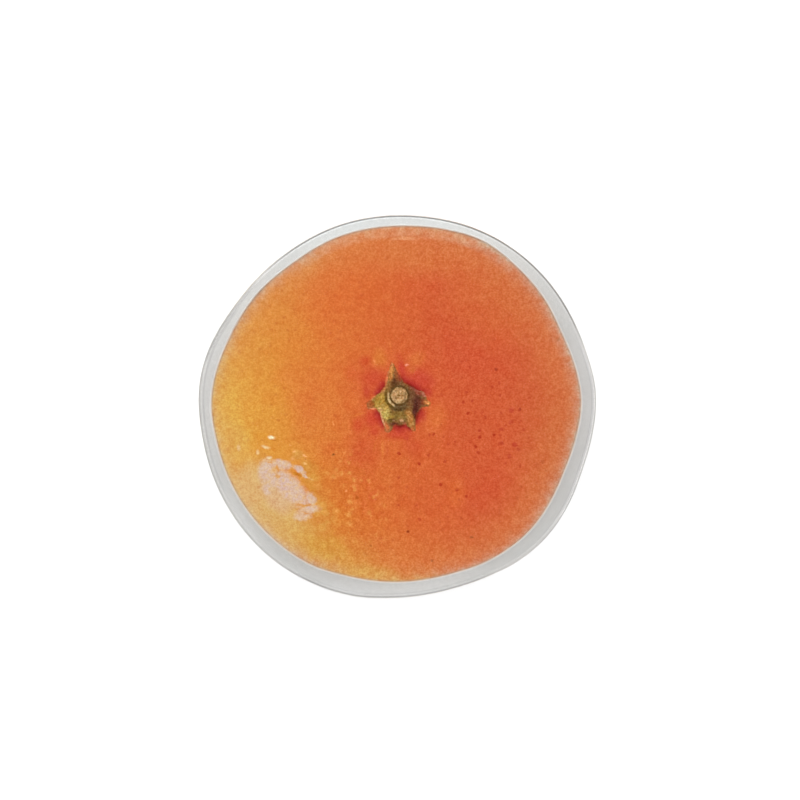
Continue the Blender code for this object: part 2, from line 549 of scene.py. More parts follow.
CALYX_GROUND = (138, 100, 56)
CALYX_GRAIN = (0.3, 0.34, 0.4)
CALYX_TINTS = (
    (-2.3, 0.7, 1.8, 2, 12, (188, 148, 66), 1),
    (-1.8, -0.95, 1.15, 2, 25, (192, 160, 84), 1),
    (-1.45, -1.5, 0.5, 0.5, 0, (204, 178, 94), 0.8),
    (-2, -0.2, 0.45, 0.9, 15, (198, 164, 88), 0.7),
    (-2.5, 0.6, 0.3, 0.26, 0, (136, 112, 46), 0.6),
    (-1.6, 1.2, 0.3, 1.2, -8, (140, 104, 52), 0.8),
    (0.2, -1.3, 2, 0.95, 0, (139, 110, 54), 1),
    (-0.9, -1.5, 0.7, 0.34, -8, (162, 134, 58), 0.8),
    (0.5, -1.55, 0.5, 0.3, 0, (168, 138, 78), 0.8),
    (2.2, 1.3, 1.7, 2.2, -6, (122, 81, 52), 1),
    (2, 0.2, 0.5, 0.5, 0, (134, 98, 64), 0.7),
    (2.75, 0.5, 0.95, 1.7, -5, (92, 53, 41), 1),
    (2.5, -0.6, 0.65, 1.4, -14, (88, 46, 38), 1),
    (3, 0.3, 0.35, 0.7, 10, (118, 64, 48), 0.7),
    (2.55, -1.5, 0.3, 0.8, -5, (104, 38, 28), 0.9),
    (3.55, 0.55, 0.45, 0.8, 0, (136, 62, 40), 0.9),
    (4.1, 0.5, 0.7, 0.5, -20, (202, 122, 66), 1),
    (3, 1.85, 0.9, 0.5, -35, (164, 82, 62), 0.9),
    (1.4, -0.9, 0.75, 0.6, 0, (172, 118, 62), 0.95),
    (1.85, -2, 0.66, 1.8, 13, (192, 134, 72), 1),
    (1.5, -2.5, 0.22, 0.6, 10, (140, 92, 42), 0.8),
    (2.15, -3.4, 0.34, 0.8, 18, (202, 112, 62), 0.9),
    (-1.55, -3, 0.55, 1.2, 17, (196, 112, 66), 1),
    (-3.85, 0.25, 0.75, 0.75, 0, (172, 96, 50), 1),
    (-3.6, 0.45, 0.26, 0.45, 0, (136, 78, 32), 0.7),
    (-4.1, 0.75, 0.6, 0.4, 30, (188, 100, 58), 0.8),
    (-0.1, 3.4, 1.4, 1.2, 0, (112, 72, 43), 1),
    (-0.45, 3.05, 0.55, 0.5, 0, (84, 50, 24), 0.75),
    (-0.3, 3.6, 0.5, 0.4, 0, (96, 60, 38), 0.8),
    (-0.9, 4.8, 0.5, 1.9, -10, (202, 130, 66), 1),
    (-0.2, 4.4, 0.42, 1.4, 14, (158, 88, 50), 0.9),
    (0.2, 4.2, 0.3, 1.2, 14, (166, 70, 48), 0.8),
    (0.5, 2.95, 0.9, 0.5, -38, (140, 98, 62), 0.85),
    (-1.65, 2.4, 0.65, 1.2, -24, (170, 120, 66), 0.9),
    (-1.05, -2.05, 0.7, 0.4, -8, (100, 76, 34), 0.95),
    (-0.5, -2.55, 1, 0.42, 2, (110, 62, 44), 1),
    (-0.55, -2, 0.3, 0.22, 0, (154, 116, 82), 0.8),
    (0.55, -2.05, 0.5, 0.36, 0, (190, 140, 96), 0.9),
    (1, -2.45, 0.36, 0.28, -20, (178, 112, 80), 0.9),
    (0.3, -2.8, 0.7, 0.24, 0, (142, 76, 48), 0.9),
    (-1, -0.85, 0.22, 0.2, 0, (92, 76, 36), 0.8),
)

# Pale lines along the star's edges, and the light tip of its upper arm
CALYX_EDGES = (
    (-2.15, -1.85, 0.2, 1.8, 18, (216, 154, 108), 0.9),
    (-2.45, -0.45, 0.6, 0.24, -35, (216, 166, 108), 0.9),
    (-3.59, 1.06, 0.81, 0.18, 42, (204, 128, 76), 0.85),
    (-3.64, -0.36, 0.85, 0.17, -4, (222, 138, 92), 0.9),
    (-0.81, 5.77, 0.18, 0.5, 0, (238, 164, 108), 0.9),
    (-1.5, 3.9, 0.22, 1.6, -14, (216, 124, 78), 0.95),
    (-2.1, 2.2, 0.8, 0.24, 50, (200, 126, 74), 0.9),
    (2.3, 2.35, 1.5, 0.24, -28, (150, 84, 66), 0.85),
    (3.68, 1.6, 0.35, 0.6, 35, (180, 100, 78), 0.8),
    (4.39, 0.39, 0.32, 0.26, -20, (234, 168, 90), 0.85),
)

# The cut stalk: a tan disc in a dark groove, with an arc of light at its lower left. Its rings
# are radius, half width, the patch that shows them or None, colour and strength.
STALK_FACE = (0.23, 1.47)
STALK_RADIUS = 1.15
STALK_SOFTNESS = 0.08
STALK_GROUND = (194, 155, 105)
STALK_RINGS = (
    (1.75, 0.75, (0.25, -0.1, 1.7, 1, 0, 1, 0.4), (98, 75, 46), 0.95),
    (1.3, 0.3, None, (94, 68, 36), 0.9),
    (1.6, 0.2, (0.3, -0.1, 1.3, 0.7, 0, 1, 0.3), (116, 96, 64), 0.6),
    (1.92, 0.3, (-1.4, 0.8, 1.3, 2.1, 16, 1, 0.5), (100, 76, 32), 0.9),
    (2.05, 0.22, (0, -0.6, 1.3, 0.4, 0, 1, 0.3), (84, 66, 34), 0.8),
    (1.57, 0.2, (-1.15, 0.75, 0.75, 1.5, 22, 1, 0.6), (206, 180, 128), 1),
)
STALK_TINTS = (
    (0.2, 1.95, 0.8, 0.5, 0, (202, 164, 112), 0.8),
    (0.3, 1, 0.7, 0.4, 0, (196, 154, 104), 0.8),
    (-0.5, 1.7, 0.4, 0.5, 0, (202, 156, 112), 0.7),
    (0.12, 1.5, 0.42, 0.24, -15, (120, 82, 38), 1),
    (0.6, 1.45, 0.3, 0.2, 10, (150, 108, 60), 0.8),
    (1.05, 1.55, 0.36, 0.7, 0, (136, 100, 60), 0.9),
    (0.95, 0.8, 0.55, 0.36, 35, (134, 98, 64), 0.9),
    (0.5, 0.5, 0.3, 0.2, 0, (146, 112, 68), 0.7),
    (-0.3, 1.1, 0.26, 0.3, -40, (142, 98, 62), 0.8),
    (-0.3, 2.15, 0.32, 0.18, 35, (140, 100, 62), 0.8),
    (0.6, 2.45, 0.6, 0.18, -8, (150, 112, 70), 0.7),
    (0.5, 1.85, 0.14, 0.4, -30, (160, 118, 72), 0.7),
)

# The broken highlight on the peel and its gaps, as x, y, half width, half height and turn
SHINE_GROWTH = 1.15
SHINE = (
    (-15.1, -11.7, 3.9, 1.75, -49),
    (-18.65, -9.2, 1.35, 2, -8),
    (-16.4, -8.3, 1.9, 0.8, -8),
    (-17.5, -10.4, 1.7, 1.1, -35),
    (-16.5, -10, 1.1, 1.2, 10),
    (-12.3, -13.1, 0.85, 1.2, 20),
    (-12.7, -14.75, 1.9, 0.74, 12),
    (-13.5, -15.6, 1.4, 0.7, 2),
    (-13.9, -9, 1.1, 0.5, -35),
    (-13.1, -9.9, 0.6, 0.26, -42),
    (-18.5, -11.7, 0.8, 1, 15),
)
SHINE_GAPS = (
    (-17, -9.9, 0.45, 0.5, 0),
    (-17, -8.8, 0.22, 0.7, 10),
    (-13.4, -13.98, 1.5, 0.24, -2),
    (-18.2, -7.95, 0.65, 0.16, -10),
    (-13, -15.15, 0.8, 0.12, -20),
    (-17.6, -12.3, 0.5, 1.5, 40),
)
SHINE_TINTS = ((220, 190, 170), (219, 190, 181), (222, 188, 154))

# Sparkles round the highlight and by the calyx, and the darker dents under some of them
SPARKLES = (
    (-17.85, -4.45, 0.72, 0.34, -8, (248, 227, 186), 1),
    (-18.7, -5.8, 0.9, 0.32, -15, (238, 210, 156), 0.95),
    (-19.8, -6.55, 0.32, 0.5, 0, (238, 206, 150), 0.85),
    (-18.15, -7.3, 0.55, 0.3, 0, (236, 208, 164), 0.9),
    (-22.5, -5.9, 0.34, 0.7, 0, (230, 190, 140), 0.7),
    (-14.6, -6.45, 0.3, 0.22, 0, (246, 188, 116), 0.85),
    (-13.15, -7.05, 0.5, 0.2, -30, (248, 190, 124), 0.9),
    (-13.1, -8.15, 0.42, 0.25, -30, (238, 182, 112), 0.75),
    (-15.2, -5.55, 0.2, 0.14, 0, (242, 180, 112), 0.7),
    (-14.85, -7.5, 0.4, 0.4, 0, (234, 170, 100), 0.6),
    (-12.3, -10.3, 0.8, 0.18, -35, (228, 184, 112), 0.6),
    (-7.3, -12, 0.3, 0.3, 0, (244, 170, 104), 0.6),
    (-9.1, -2.5, 0.2, 0.5, 30, (242, 168, 96), 0.8),
    (1.3, 5.78, 0.46, 0.22, 5, (255, 186, 152), 1),
    (-3.1, 6.1, 0.18, 0.95, 38, (246, 160, 100), 0.9),
)
UNDER_SPARKLES = (
    (-17.6, -4.85, 0.7, 0.16, -8, (196, 120, 44), 0.8),
    (-17.6, -6.1, 0.6, 0.35, -30, (212, 124, 44), 0.7),
    (-14.2, -9.65, 0.75, 0.32, -18, (200, 120, 38), 0.9),
    (-14.9, -8.8, 0.3, 0.3, 0, (206, 138, 50), 0.6),
    (-13, -7.45, 0.35, 0.14, -30, (192, 94, 54), 0.8),
    (-12, -12, 1.5, 0.7, -55, (216, 146, 62), 0.7),
)

# Haze round the highlight, with one last tone for the upper right of the peel
SHINE_SURROUND = (
    (-19.3, -14.5, 6.8, 10.5, 38, (220, 195, 124), 0.98),
    (-20.8, -11.6, 4.2, 4.6, 0, (225, 196, 134), 0.9),
    (-15, -18.6, 5.2, 4.2, -30, (218, 185, 111), 0.8),
    (-23.2, -5, 2.6, 4, 10, (227, 185, 92), 0.8),
    (-17, -13, 3.8, 2.3, -45, (221, 190, 148), 0.9),
    (-11.2, -15, 2.8, 5.5, 0, (219, 163, 80), 0.8),
    (-12.3, -9.2, 2.7, 2.4, -45, (218, 155, 71), 0.85),
    (-19.5, -4.4, 2, 0.9, -25, (222, 150, 54), 0.6),
    (-10.8, -20.2, 4.8, 3, -18, (217, 161, 66), 0.85),
    (-14.4, -7.1, 1.3, 1.1, 0, (221, 162, 82), 0.8),
    (-4.5, -23.6, 6, 1.8, -3, (216, 156, 80), 0.8),
    (12, 14, 10, 7, 130, (215, 115, 62), 0.4),
)

# Grain of the picture: size of the lumps, detail, and how far red, green and blue go with them
PICTURE_GRAIN = (
    (0.25, 1, (0.07, 0.2, 0.3)),
    (0.6, 2, (0.045, 0.12, 0.17)),
    (1.6, 2, (0.022, 0.085, 0.1)),
)

# Where the grain is calmer, by the share that is taken off it
GRAIN_CALM = (
    (-16, 12, 28, 24, 50, 0.2),
    (-17.5, -14, 11, 14, 38, 0.35),
)

# Single dark specks and dents of the peel
SPECKS = (
    (1.5, -17.75, 0.3, 0.28, 0, (140, 44, 18), 0.9),
    (4.85, -21.85, 0.3, 0.28, 0, (150, 48, 24), 0.85),
    (-3.8, -19.75, 0.36, 0.3, 0, (164, 68, 26), 0.7),
    (-5.73, -12.9, 0.36, 0.28, 20, (156, 62, 22), 0.7),
    (-9.1, -6.9, 0.3, 0.26, 0, (112, 58, 24), 0.85),
    (10.4, -18.6, 0.3, 0.26, 0, (132, 40, 22), 0.8),
    (17.3, -0.4, 0.28, 0.26, 0, (146, 44, 30), 0.7),
    (13.9, 5.2, 0.34, 0.28, 0, (150, 44, 28), 0.7),
    (22.8, 9.4, 0.4, 0.3, 60, (160, 80, 56), 0.7),
    (16.1, -0.6, 0.5, 0.6, 0, (190, 62, 48), 0.55),
    (16, -2.3, 0.6, 0.4, 20, (188, 64, 44), 0.55),
    (14.6, -3.3, 0.5, 0.45, 0, (186, 60, 42), 0.6),
    (14.7, -5.3, 0.5, 0.4, 0, (180, 58, 40), 0.6),
    (16.5, -5.5, 0.6, 0.45, -20, (190, 56, 46), 0.6),
    (17.1, -6.1, 0.45, 0.4, 0, (182, 62, 40), 0.6),
    (15.8, -7.1, 0.5, 0.5, 0, (184, 60, 42), 0.55),
    (20.5, -7.9, 0.4, 0.35, 0, (176, 64, 42), 0.65),
    (21, -9.1, 0.4, 0.35, 0, (180, 66, 42), 0.6),
    (-4.6, -21, 0.5, 0.5, 0, (204, 102, 50), 0.6),
    (-2.4, -18.7, 0.4, 0.35, 0, (198, 88, 46), 0.6),
)


# Bumps and pores of the peel: where they show, and their colours
BUMP_ZONE = (-7.5, -14, 7.5, 10.5, 15, 0.65, 0.4)
BUMP_SIZE = 1.15
BUMP_TINT = (230, 164, 82)
BUMP_GAP_TINT = (211, 110, 44)
PORE_ZONE = (9, -6, 18, 18, 0, 1.0, 0.2)
PORE_SIZE = 1.25
PORE_TINT = (186, 64, 38)

# Where the round fruit turns away: the tone of its outer part, then the haze at its very edge
LIMB_TINT = (216, 138, 78)
LOW_LIMB = ((-11, -23, 14, 8, -22, 1.0, 0.3), (218, 170, 76))
HAZE_TINT = (214, 184, 156)
HAZE_TINTS = (
    ((-29, -7, 20, 24, 0, 1, 0.3), (224, 190, 134)),
    ((-2, 26, 20, 8, 0, 1, 0.4), (227, 168, 126)),
    ((-3, -26, 13, 6, 0, 1, 0.4), (222, 180, 112)),
)
THIN_HAZE = (13, -21, 13, 8, 35, 0.3, 0.3)
LEDGE = (1, 24, 20, 10, 0, 0.3, 0.4)
GLINT = ((1.0, 23.5, 2.4, 1.6, 0, 0.45, 0.3), (236, 176, 126))
# Painted shade of the print's edge: a thin grey-brown line round the picture
PRINT_EDGE_SHADE_TINT = (180, 148, 134)


def peel(ink):
    """The peel's own colours, from the red side to the golden one."""
    slant = ink.add("VectorMath", ink.shaken(1.6, 5.0), (cos(PEEL_SLANT), sin(PEEL_SLANT), 0.0),
                    operation="DOT_PRODUCT", out=1)
    low, high = PEEL_GROUND[0][0], PEEL_GROUND[-1][0]
    stops = [((at - low) / (high - low), daylight(*tint)) for at, tint in PEEL_GROUND]
    colour = ink.ramp(ink.line(slant, low, high), stops)
    wavy = ink.shaken(1.2, 4.0)
    colour = ink.lay(colour, PEEL_TINTS, place=wavy)
    return ink.lay(colour, SHINE_SURROUND, 0.25, wavy)


def peel_relief(ink, colour):
    """Pores and small bumps of the peel."""
    bump_zone = ink.patch(*BUMP_ZONE)
    bumps = ink.cells(BUMP_SIZE, ink.shaken(0.35, 0.8))
    gaps = ink.times(ink.ease(bumps, 0.42, 0.62, 0.0, 0.7), bump_zone)
    colour = ink.mix(gaps, colour, daylight(*BUMP_GAP_TINT))
    lit = ink.times(ink.ease(bumps, 0.42, 0.08), bump_zone)
    colour = ink.mix(lit, colour, daylight(*BUMP_TINT))
    depth = ink.ease(ink.cells(PORE_SIZE, ink.shaken(0.2, 0.6)), 0.27, 0.1)
    keep = ink.ease(ink.cloud(3.0, 2.0), 0.38, 0.56)
    zone = ink.ease(ink.patch(*PORE_ZONE), 0.0, 1.0, 0.25, 1.0)
    pores = ink.times(ink.times(depth, keep), zone)
    return ink.mix(pores, colour, daylight(*PORE_TINT))


def grain(ink, colour):
    """Fine grain all over the picture, calmer at the left and most of all by the highlight."""
    calm = 1.0
    for zone in GRAIN_CALM:
        calm = ink.maths("SUBTRACT", calm, ink.patch(*zone, 0.3))
    for size, detail, shares in PICTURE_GRAIN:
        lumps = ink.ease(ink.cloud(size, detail), 0.25, 0.75, -1.0, 1.0)
        lumps = ink.times(lumps, calm)
        colour = ink.lighten(colour, lumps, shares)
    return colour


def limb(ink, colour):
    """The pale haze where the round fruit turns away."""
    inward = ink.attribute("rim")
    lift = ink.ease(inward, 0.5, 9.0, 0.42, 0.0)
    colour = ink.mix(lift, colour, daylight(*LIMB_TINT))
    zone, tint = LOW_LIMB
    colour = ink.mix(ink.times(ink.patch(*zone), lift), colour, daylight(*tint))
    strength = ink.maths("SUBTRACT", 0.85, ink.patch(*THIN_HAZE))
    soft = ink.maths("EXPONENT", ink.times(inward, -1.45))
    ledge = ink.times(ink.ease(inward, 1.9, 1.1), ink.patch(*LEDGE))
    share = ink.maths("MULTIPLY_ADD", soft, strength, ledge)
    ragged = ink.ease(ink.cloud(1.1, 3.0), 0.3, 0.7, 0.6, 1.3)
    share = ink.times(share, ragged)
    haze = daylight(*HAZE_TINT)
    for zone, tint in HAZE_TINTS:
        haze = ink.mix(ink.patch(*zone), haze, daylight(*tint))
    colour = ink.mix(share, colour, haze)
    zone, tint = GLINT
    glint = ink.times(ink.stroke(inward, 1.75, 0.3), ink.patch(*zone))
    return ink.mix(glint, colour, daylight(*tint))


def painted_edge_shade(ink, colour):
    """A thin grey-brown line round the picture: painted shade of the print's edge."""
    share = ink.ease(ink.attribute("rim"), 0.05, 0.35, 0.4, 0.0)
    return ink.mix(share, colour, daylight(*PRINT_EDGE_SHADE_TINT))


def shine(ink, colour):
    """The broken highlight at the lower left and the small sparkles."""
    ragged = ink.shaken(0.4, 0.6, 3.0)
    share = None
    for x, y, across, along, turn in SHINE:
        oval = ink.patch(x, y, across * SHINE_GROWTH, along * SHINE_GROWTH, turn, 1.0, 0.4, ragged)
        share = oval if share is None else ink.maths("MAXIMUM", share, oval)
    for x, y, across, along, turn in SHINE_GAPS:
        gap = ink.patch(x, y, across, along, turn, 0.8, 0.4, ragged)
        share = ink.times(share, ink.maths("SUBTRACT", 1.0, gap))
    pits = ink.ease(ink.cells(0.8, ink.shaken(0.3, 0.4)), 0.06, 0.22, 0.6, 1.0)
    share = ink.times(ink.times(share, pits), 0.94)
    pink, lilac, cream = (daylight(*tint) for tint in SHINE_TINTS)
    tone = ink.mix(ink.ease(ink.cloud(1.4, 2.0), 0.5, 0.65), pink, lilac)
    tone = ink.mix(ink.ease(ink.cloud(0.6, 2.0), 0.45, 0.62), tone, cream)
    tone = ink.mix(ink.patch(-13.3, -15.3, 2.2, 1.3, 0, 0.8, 0.3), tone, cream)
    colour = ink.mix(share, colour, tone)
    colour = ink.lay(colour, UNDER_SPARKLES, 0.2, ragged)
    return ink.lay(colour, SPARKLES, 0.2, ink.shaken(0.15, 0.4, 2.0))


def calyx(ink, colour):
    """The star-shaped calyx with the cut stalk in its middle, and the red hollow round it."""
    ragged = ink.shaken(0.22, 0.8, 2.0)
    colour = ink.lay(colour, HOLLOW_TINTS, 0.1, ragged)
    colour = ink.lay(colour, FOLDS, 0.1, ragged)
    frayed = ink.shaken(0.16, 0.4, 3.0)
    arm = ink.add("VectorMath", frayed, (*STALK, 0.0), operation="SUBTRACT")
    flat = ink.add("VectorMath", arm, (1.0, 1.0, 0.0), operation="MULTIPLY")
    reach = ink.add("VectorMath", flat, operation="LENGTH", out=1)
    parts = ink.add("SeparateXYZ", flat).node
    angle = ink.maths("ARCTAN2", parts.outputs["Y"], parts.outputs["X"])
    around = ink.line(angle, -radians(180), radians(180))
    points = [((turn + 180) / 360, radius / STAR_REACH) for turn, radius in STAR_EDGE]
    edge = ink.times(ink.curve(around, points), STAR_REACH)
    inside = ink.maths("SUBTRACT", edge, reach)
    shade = None
    for x, y, across, along, turn, strength in SHADE_ZONES:
        zone = ink.patch(x, y, across, along, turn, strength, 0.4, ragged)
        shade = zone if shade is None else ink.maths("MAXIMUM", shade, zone)
    near = ink.times(ink.ease(inside, -1.5, -0.3), shade)
    colour = ink.mix(near, colour, daylight(*SHADE_TINT))
    close = ink.times(ink.ease(inside, -0.55, -0.05, 0.0, 0.9), shade)
    colour = ink.mix(close, colour, daylight(*CREASE_TINT))
    skin = ink.lay(daylight(*CALYX_GROUND), CALYX_TINTS, 0.25, frayed)
    colour = ink.mix(ink.ease(inside, -0.16, 0.16), colour, skin)
    colour = ink.lay(colour, CALYX_EDGES, 0.3, frayed)
    colour = stalk(ink, colour, frayed)
    rough = ink.ease(ink.cloud(0.24, 2.0), 0.3, 0.7, -1.0, 1.0)
    rough = ink.times(rough, ink.ease(inside, -0.5, 0.2))
    return ink.lighten(colour, rough, CALYX_GRAIN)


def stalk(ink, colour, frayed):
    """The cut face of the stalk and the rings round it."""
    offset = ink.add("VectorMath", frayed, (*STALK_FACE, 0.0), operation="SUBTRACT")
    flat = ink.add("VectorMath", offset, (1.0, 1.0, 0.0), operation="MULTIPLY")
    reach = ink.add("VectorMath", flat, operation="LENGTH", out=1)
    for at, half, zone, tint, strength in STALK_RINGS:
        ring = ink.stroke(reach, at, half)
        if zone is not None:
            ring = ink.times(ring, ink.patch(*zone))
        colour = ink.mix(ink.times(ring, strength), colour, daylight(*tint))
    face = ink.lay(daylight(*STALK_GROUND), STALK_TINTS, 0.2, frayed)
    inside = ink.ease(reach, STALK_RADIUS + STALK_SOFTNESS, STALK_RADIUS - STALK_SOFTNESS)
    return ink.mix(inside, colour, face)


def picture_material():
    """The printed picture, all by formulas on the plate's own millimetres."""
    ink = Recipe("picture_ink", PICTURE_MIDDLE)
    colour = peel(ink)
    colour = ink.lay(colour, SPECKS, 0.3, ink.shaken(0.25, 0.5, 2.0))
    colour = peel_relief(ink, colour)
    colour = limb(ink, colour)
    colour = shine(ink, colour)
    colour = calyx(ink, colour)
    colour = painted_edge_shade(ink, colour)
    colour = grain(ink, colour)
    ink.set(Base_Color=colour, Roughness=0.45, Specular_IOR_Level=0.0)
    return ink.material


ACRYLIC_IOR = 1.49

# Painted shade: dark lines along the cut edge, as its rounding shows dark surroundings. Each is
# distance from it and half width in millimetres, strength, then the part of the plate that shows
# them as x, y, half width, half height and turn
PAINTED_RIM_SHADE_LINES = (
    (0.22, 0.15, 0.85, (-2, 27, 26, 12, 8)),
    (0.19, 0.15, 0.8, (20, 20, 14, 14, 0)),
    (0.32, 0.18, 0.5, (-24, 13, 7, 9, 0)),
    (0.07, 0.1, 0.6, (26, -8, 9, 18, -12)),
    (0.49, 0.1, 0.35, (27, -5, 9, 19, -8)),
    (0.1, 0.1, 0.35, (-26, 3, 6, 22, 0)),
    (0.65, 0.09, 0.25, (-26, 3, 6, 22, 0)),
    (0.2, 0.16, 0.5, (0, -27, 30, 6, 0)),
    (0.5, 0.16, 0.12, (0, -27, 30, 6, 0)),
)
PAINTED_RIM_SHADE_COLOUR = (0.02, 0.02, 0.02, 1.0)

# A painted highlight: a bright band along the right-hand edge, in the same form
PAINTED_RIM_HIGHLIGHT = (0.27, 0.3, 1.0, (27, -5, 9, 19, -8))

# What the plate lets through: all, then painted shade that makes the margin grey, and painted light
# and shade that make parts of it lighter or darker
CLEAR = (1.0, 1.0, 1.0, 1.0)
MARGIN_PAINTED_SHADE = (0.668, 0.663, 0.65, 1.0)
MARGIN_PAINTED_LIGHT_AND_SHADE = (
    ((-3, 27, 26, 12, 5), (0.72, 0.74, 0.74)),
    ((-27, 2, 5, 9, 0), (0.645, 0.64, 0.63)),
    ((25, -2, 8, 24, 0), (0.675, 0.665, 0.655)),
    ((-19, -19, 14, 9, -45), (0.715, 0.71, 0.695)),
    ((0, -27, 26, 8, 0), (0.775, 0.77, 0.76)),
)


def acrylic_material():
    """Clear cast acrylic: clear over the picture, pale grey in the margin and dark at the cut edge
    by painted shade, with a painted highlight along the right.
    """
    clear = Recipe("clear_acrylic")
    inward = clear.attribute("rim")
    # Painted shade: the margin is grey, lighter or darker in parts, as the shaded floor under it
    # would look
    colour = MARGIN_PAINTED_SHADE
    for zone, tint in MARGIN_PAINTED_LIGHT_AND_SHADE:
        colour = clear.mix(clear.patch(*zone, 1.0, 0.2), colour, (*tint, 1.0))
    beyond = clear.attribute("beyond")
    # Cloudy tone at random, times painted light and shade: lighter next to the picture, darker
    # outwards
    cloud_and_painted_shade = clear.ease(clear.cloud(0.6, 2.0), 0.25, 0.75, 0.97, 1.03)
    cloud_and_painted_shade = clear.times(cloud_and_painted_shade, clear.line(beyond, 0.2, 1.8, 1.03, 0.965))
    colour = clear.mix(1.0, colour, clear.add("CombineColor", cloud_and_painted_shade, cloud_and_painted_shade, cloud_and_painted_shade), "MULTIPLY")
    # Painted highlight: the margin's grey is lifted to clear in a band along the right-hand edge
    at, half, strength, zone = PAINTED_RIM_HIGHLIGHT
    painted_highlight_band = clear.times(clear.stroke(inward, at, half), clear.patch(*zone, strength, 0.5))
    colour = clear.mix(painted_highlight_band, colour, CLEAR)
    # Painted shade: dark lines along the cut edge
    for at, half, strength, zone in PAINTED_RIM_SHADE_LINES:
        line = clear.times(clear.stroke(inward, at, half), clear.patch(*zone, strength, 0.5))
        colour = clear.mix(line, colour, PAINTED_RIM_SHADE_COLOUR)
    colour = clear.mix(clear.ease(beyond, 0.1, 0.18), CLEAR, colour)
    side = clear.ease(inward, 0.1, 0.02)
    streaks = clear.cloud(0.35, 2.0, clear.add("Mapping", clear.place, scale=(1.0, 1.0, 0.06)))
    clear.bump(clear.times(streaks, side), 0.3, 0.03)
    clear.set(Base_Color=colour, Roughness=0.01, IOR=ACRYLIC_IOR, Transmission_Weight=1.0)
    return clear.material


def white_ink_material():
    """White ink laid down in fine passes, warm white."""
    white = Recipe("white_ink")
    across = white.add("Mapping", white.place, scale=(0.04, 1.0, 1.0))
    passes = white.cloud(0.5, 3.0, across)
    tone = white.ease(passes, 0.3, 0.7, 0.0, 1.0)
    colour = white.mix(tone, daylight(246, 233, 217), daylight(251, 240, 226))
    specks = white.ease(white.cells(1.6), 0.1, 0.05, 0.0, 0.35)
    colour = white.mix(specks, colour, daylight(214, 204, 190))
    height = white.add("SeparateXYZ", white.place).node.outputs["Z"]
    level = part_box("printed_picture")[0].z / MM
    colour = white.mix(white.ease(height, level, level + 0.1), colour, daylight(230, 214, 198))
    white.bump(passes, 0.5, 0.02)
    white.set(Base_Color=colour, Roughness=white.line(passes, 0.3, 0.7, 0.42, 0.55))
    return white.material


def foam_material():
    """White closed-cell foam, cut open at its edge, with painted shade in its open cells and a
    yellowish film of glue on both faces.
    """
    foam = Recipe("foam_tape")
    height = foam.add("SeparateXYZ", foam.place).node.outputs["Z"]
    low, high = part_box("tape_pad")
    middle = (low.z + high.z) / 2 / MM
    away = foam.maths("ABSOLUTE", foam.maths("SUBTRACT", height, middle))
    half = (high.z - low.z) / 2 / MM
    glue = foam.ease(away, half - 0.03, half + 0.02)
    hollow = foam.cells(0.14)
    # Painted shade: the foam is greyer deep in its open cells
    painted_cell_shade = foam.ease(hollow, 0.55, 0.15)
    colour = foam.mix(painted_cell_shade, daylight(236, 235, 230), daylight(188, 186, 180))
    broad = foam.ease(foam.cloud(2.5, 2.0), 0.3, 0.7, 0.0, 0.5)
    colour = foam.mix(broad, colour, daylight(226, 222, 208))
    colour = foam.mix(glue, colour, daylight(214, 203, 170))
    foam.bump(hollow, 0.6, 0.08)
    foam.set(Base_Color=colour, Roughness=foam.line(glue, 0.0, 1.0, 0.92, 0.35))
    return foam.material


def ferrite_material():
    """Dark grey pressed ferrite with a fine grain, pits darkened by painted shade and the marks of
    grinding on its faces.
    """
    ferrite = Recipe("ferrite")
    grain = ferrite.cloud(0.12, 4.0)
    broad = ferrite.cloud(2.2, 3.0)
    colour = ferrite.mix(ferrite.ease(grain, 0.3, 0.7), daylight(50, 50, 53), daylight(72, 71, 72))
    colour = ferrite.mix(ferrite.ease(broad, 0.35, 0.7, 0.0, 0.5), colour, daylight(84, 82, 82))
    # The pits are darkened by painted shade; the bump below also sinks them
    pits = ferrite.ease(ferrite.cells(0.7, ferrite.shaken(0.2, 0.5)), 0.16, 0.06)
    colour = ferrite.mix(pits, colour, daylight(34, 34, 36))
    ground = ferrite.add("Mapping", ferrite.place, scale=(0.05, 1.0, 1.0), rotation=(0, 0, 0.4))
    scratches = ferrite.cloud(0.16, 3.0, ground)
    height = ferrite.maths("MULTIPLY_ADD", scratches, 0.5, grain)
    height = ferrite.maths("MULTIPLY_ADD", pits, -0.8, height)
    ferrite.bump(height, 0.5, 0.03)
    ferrite.set(Base_Color=colour, Roughness=ferrite.line(scratches, 0.3, 0.7, 0.4, 0.62))
    return ferrite.material


# The pieces


def make_plate():
    """The clear plate, with rounded rims and rings that carry the distances to both edges."""
    low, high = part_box("clear_plate")
    edge = cut_line("clear_plate")
    picture_edge = cut_line("printed_picture")
    plate = slab("cut_plate", edge, low.z, high.z)
    round_rim(plate, high.z, PLATE_ROUNDING, ROUNDING_STEPS)
    round_rim(plate, low.z, PLATE_ROUNDING, ROUNDING_STEPS)
    flat_edge = shrunk(edge, PLATE_ROUNDING / MM + HOLDING_LOOP)
    lines = [flat_edge]
    lines += [between(flat_edge, picture_edge, share) for share in MARGIN_RINGS]
    lines += [picture_edge, shrunk(picture_edge, INNER_RING)]
    add_rings(plate, 1, lines)
    add_rings(plate, -1, lines)
    add_distance(plate, "rim", edge)
    add_distance(plate, "beyond", picture_edge)
    beyond = plate.data.attributes["beyond"].data
    for vertex in plate.data.vertices:
        if vertex.co.xy.length < on_line(picture_edge, vertex.co).length:
            beyond[vertex.index].value *= -1
    smooth(plate)
    finish_piece(plate, "clear_plate", acrylic_material())


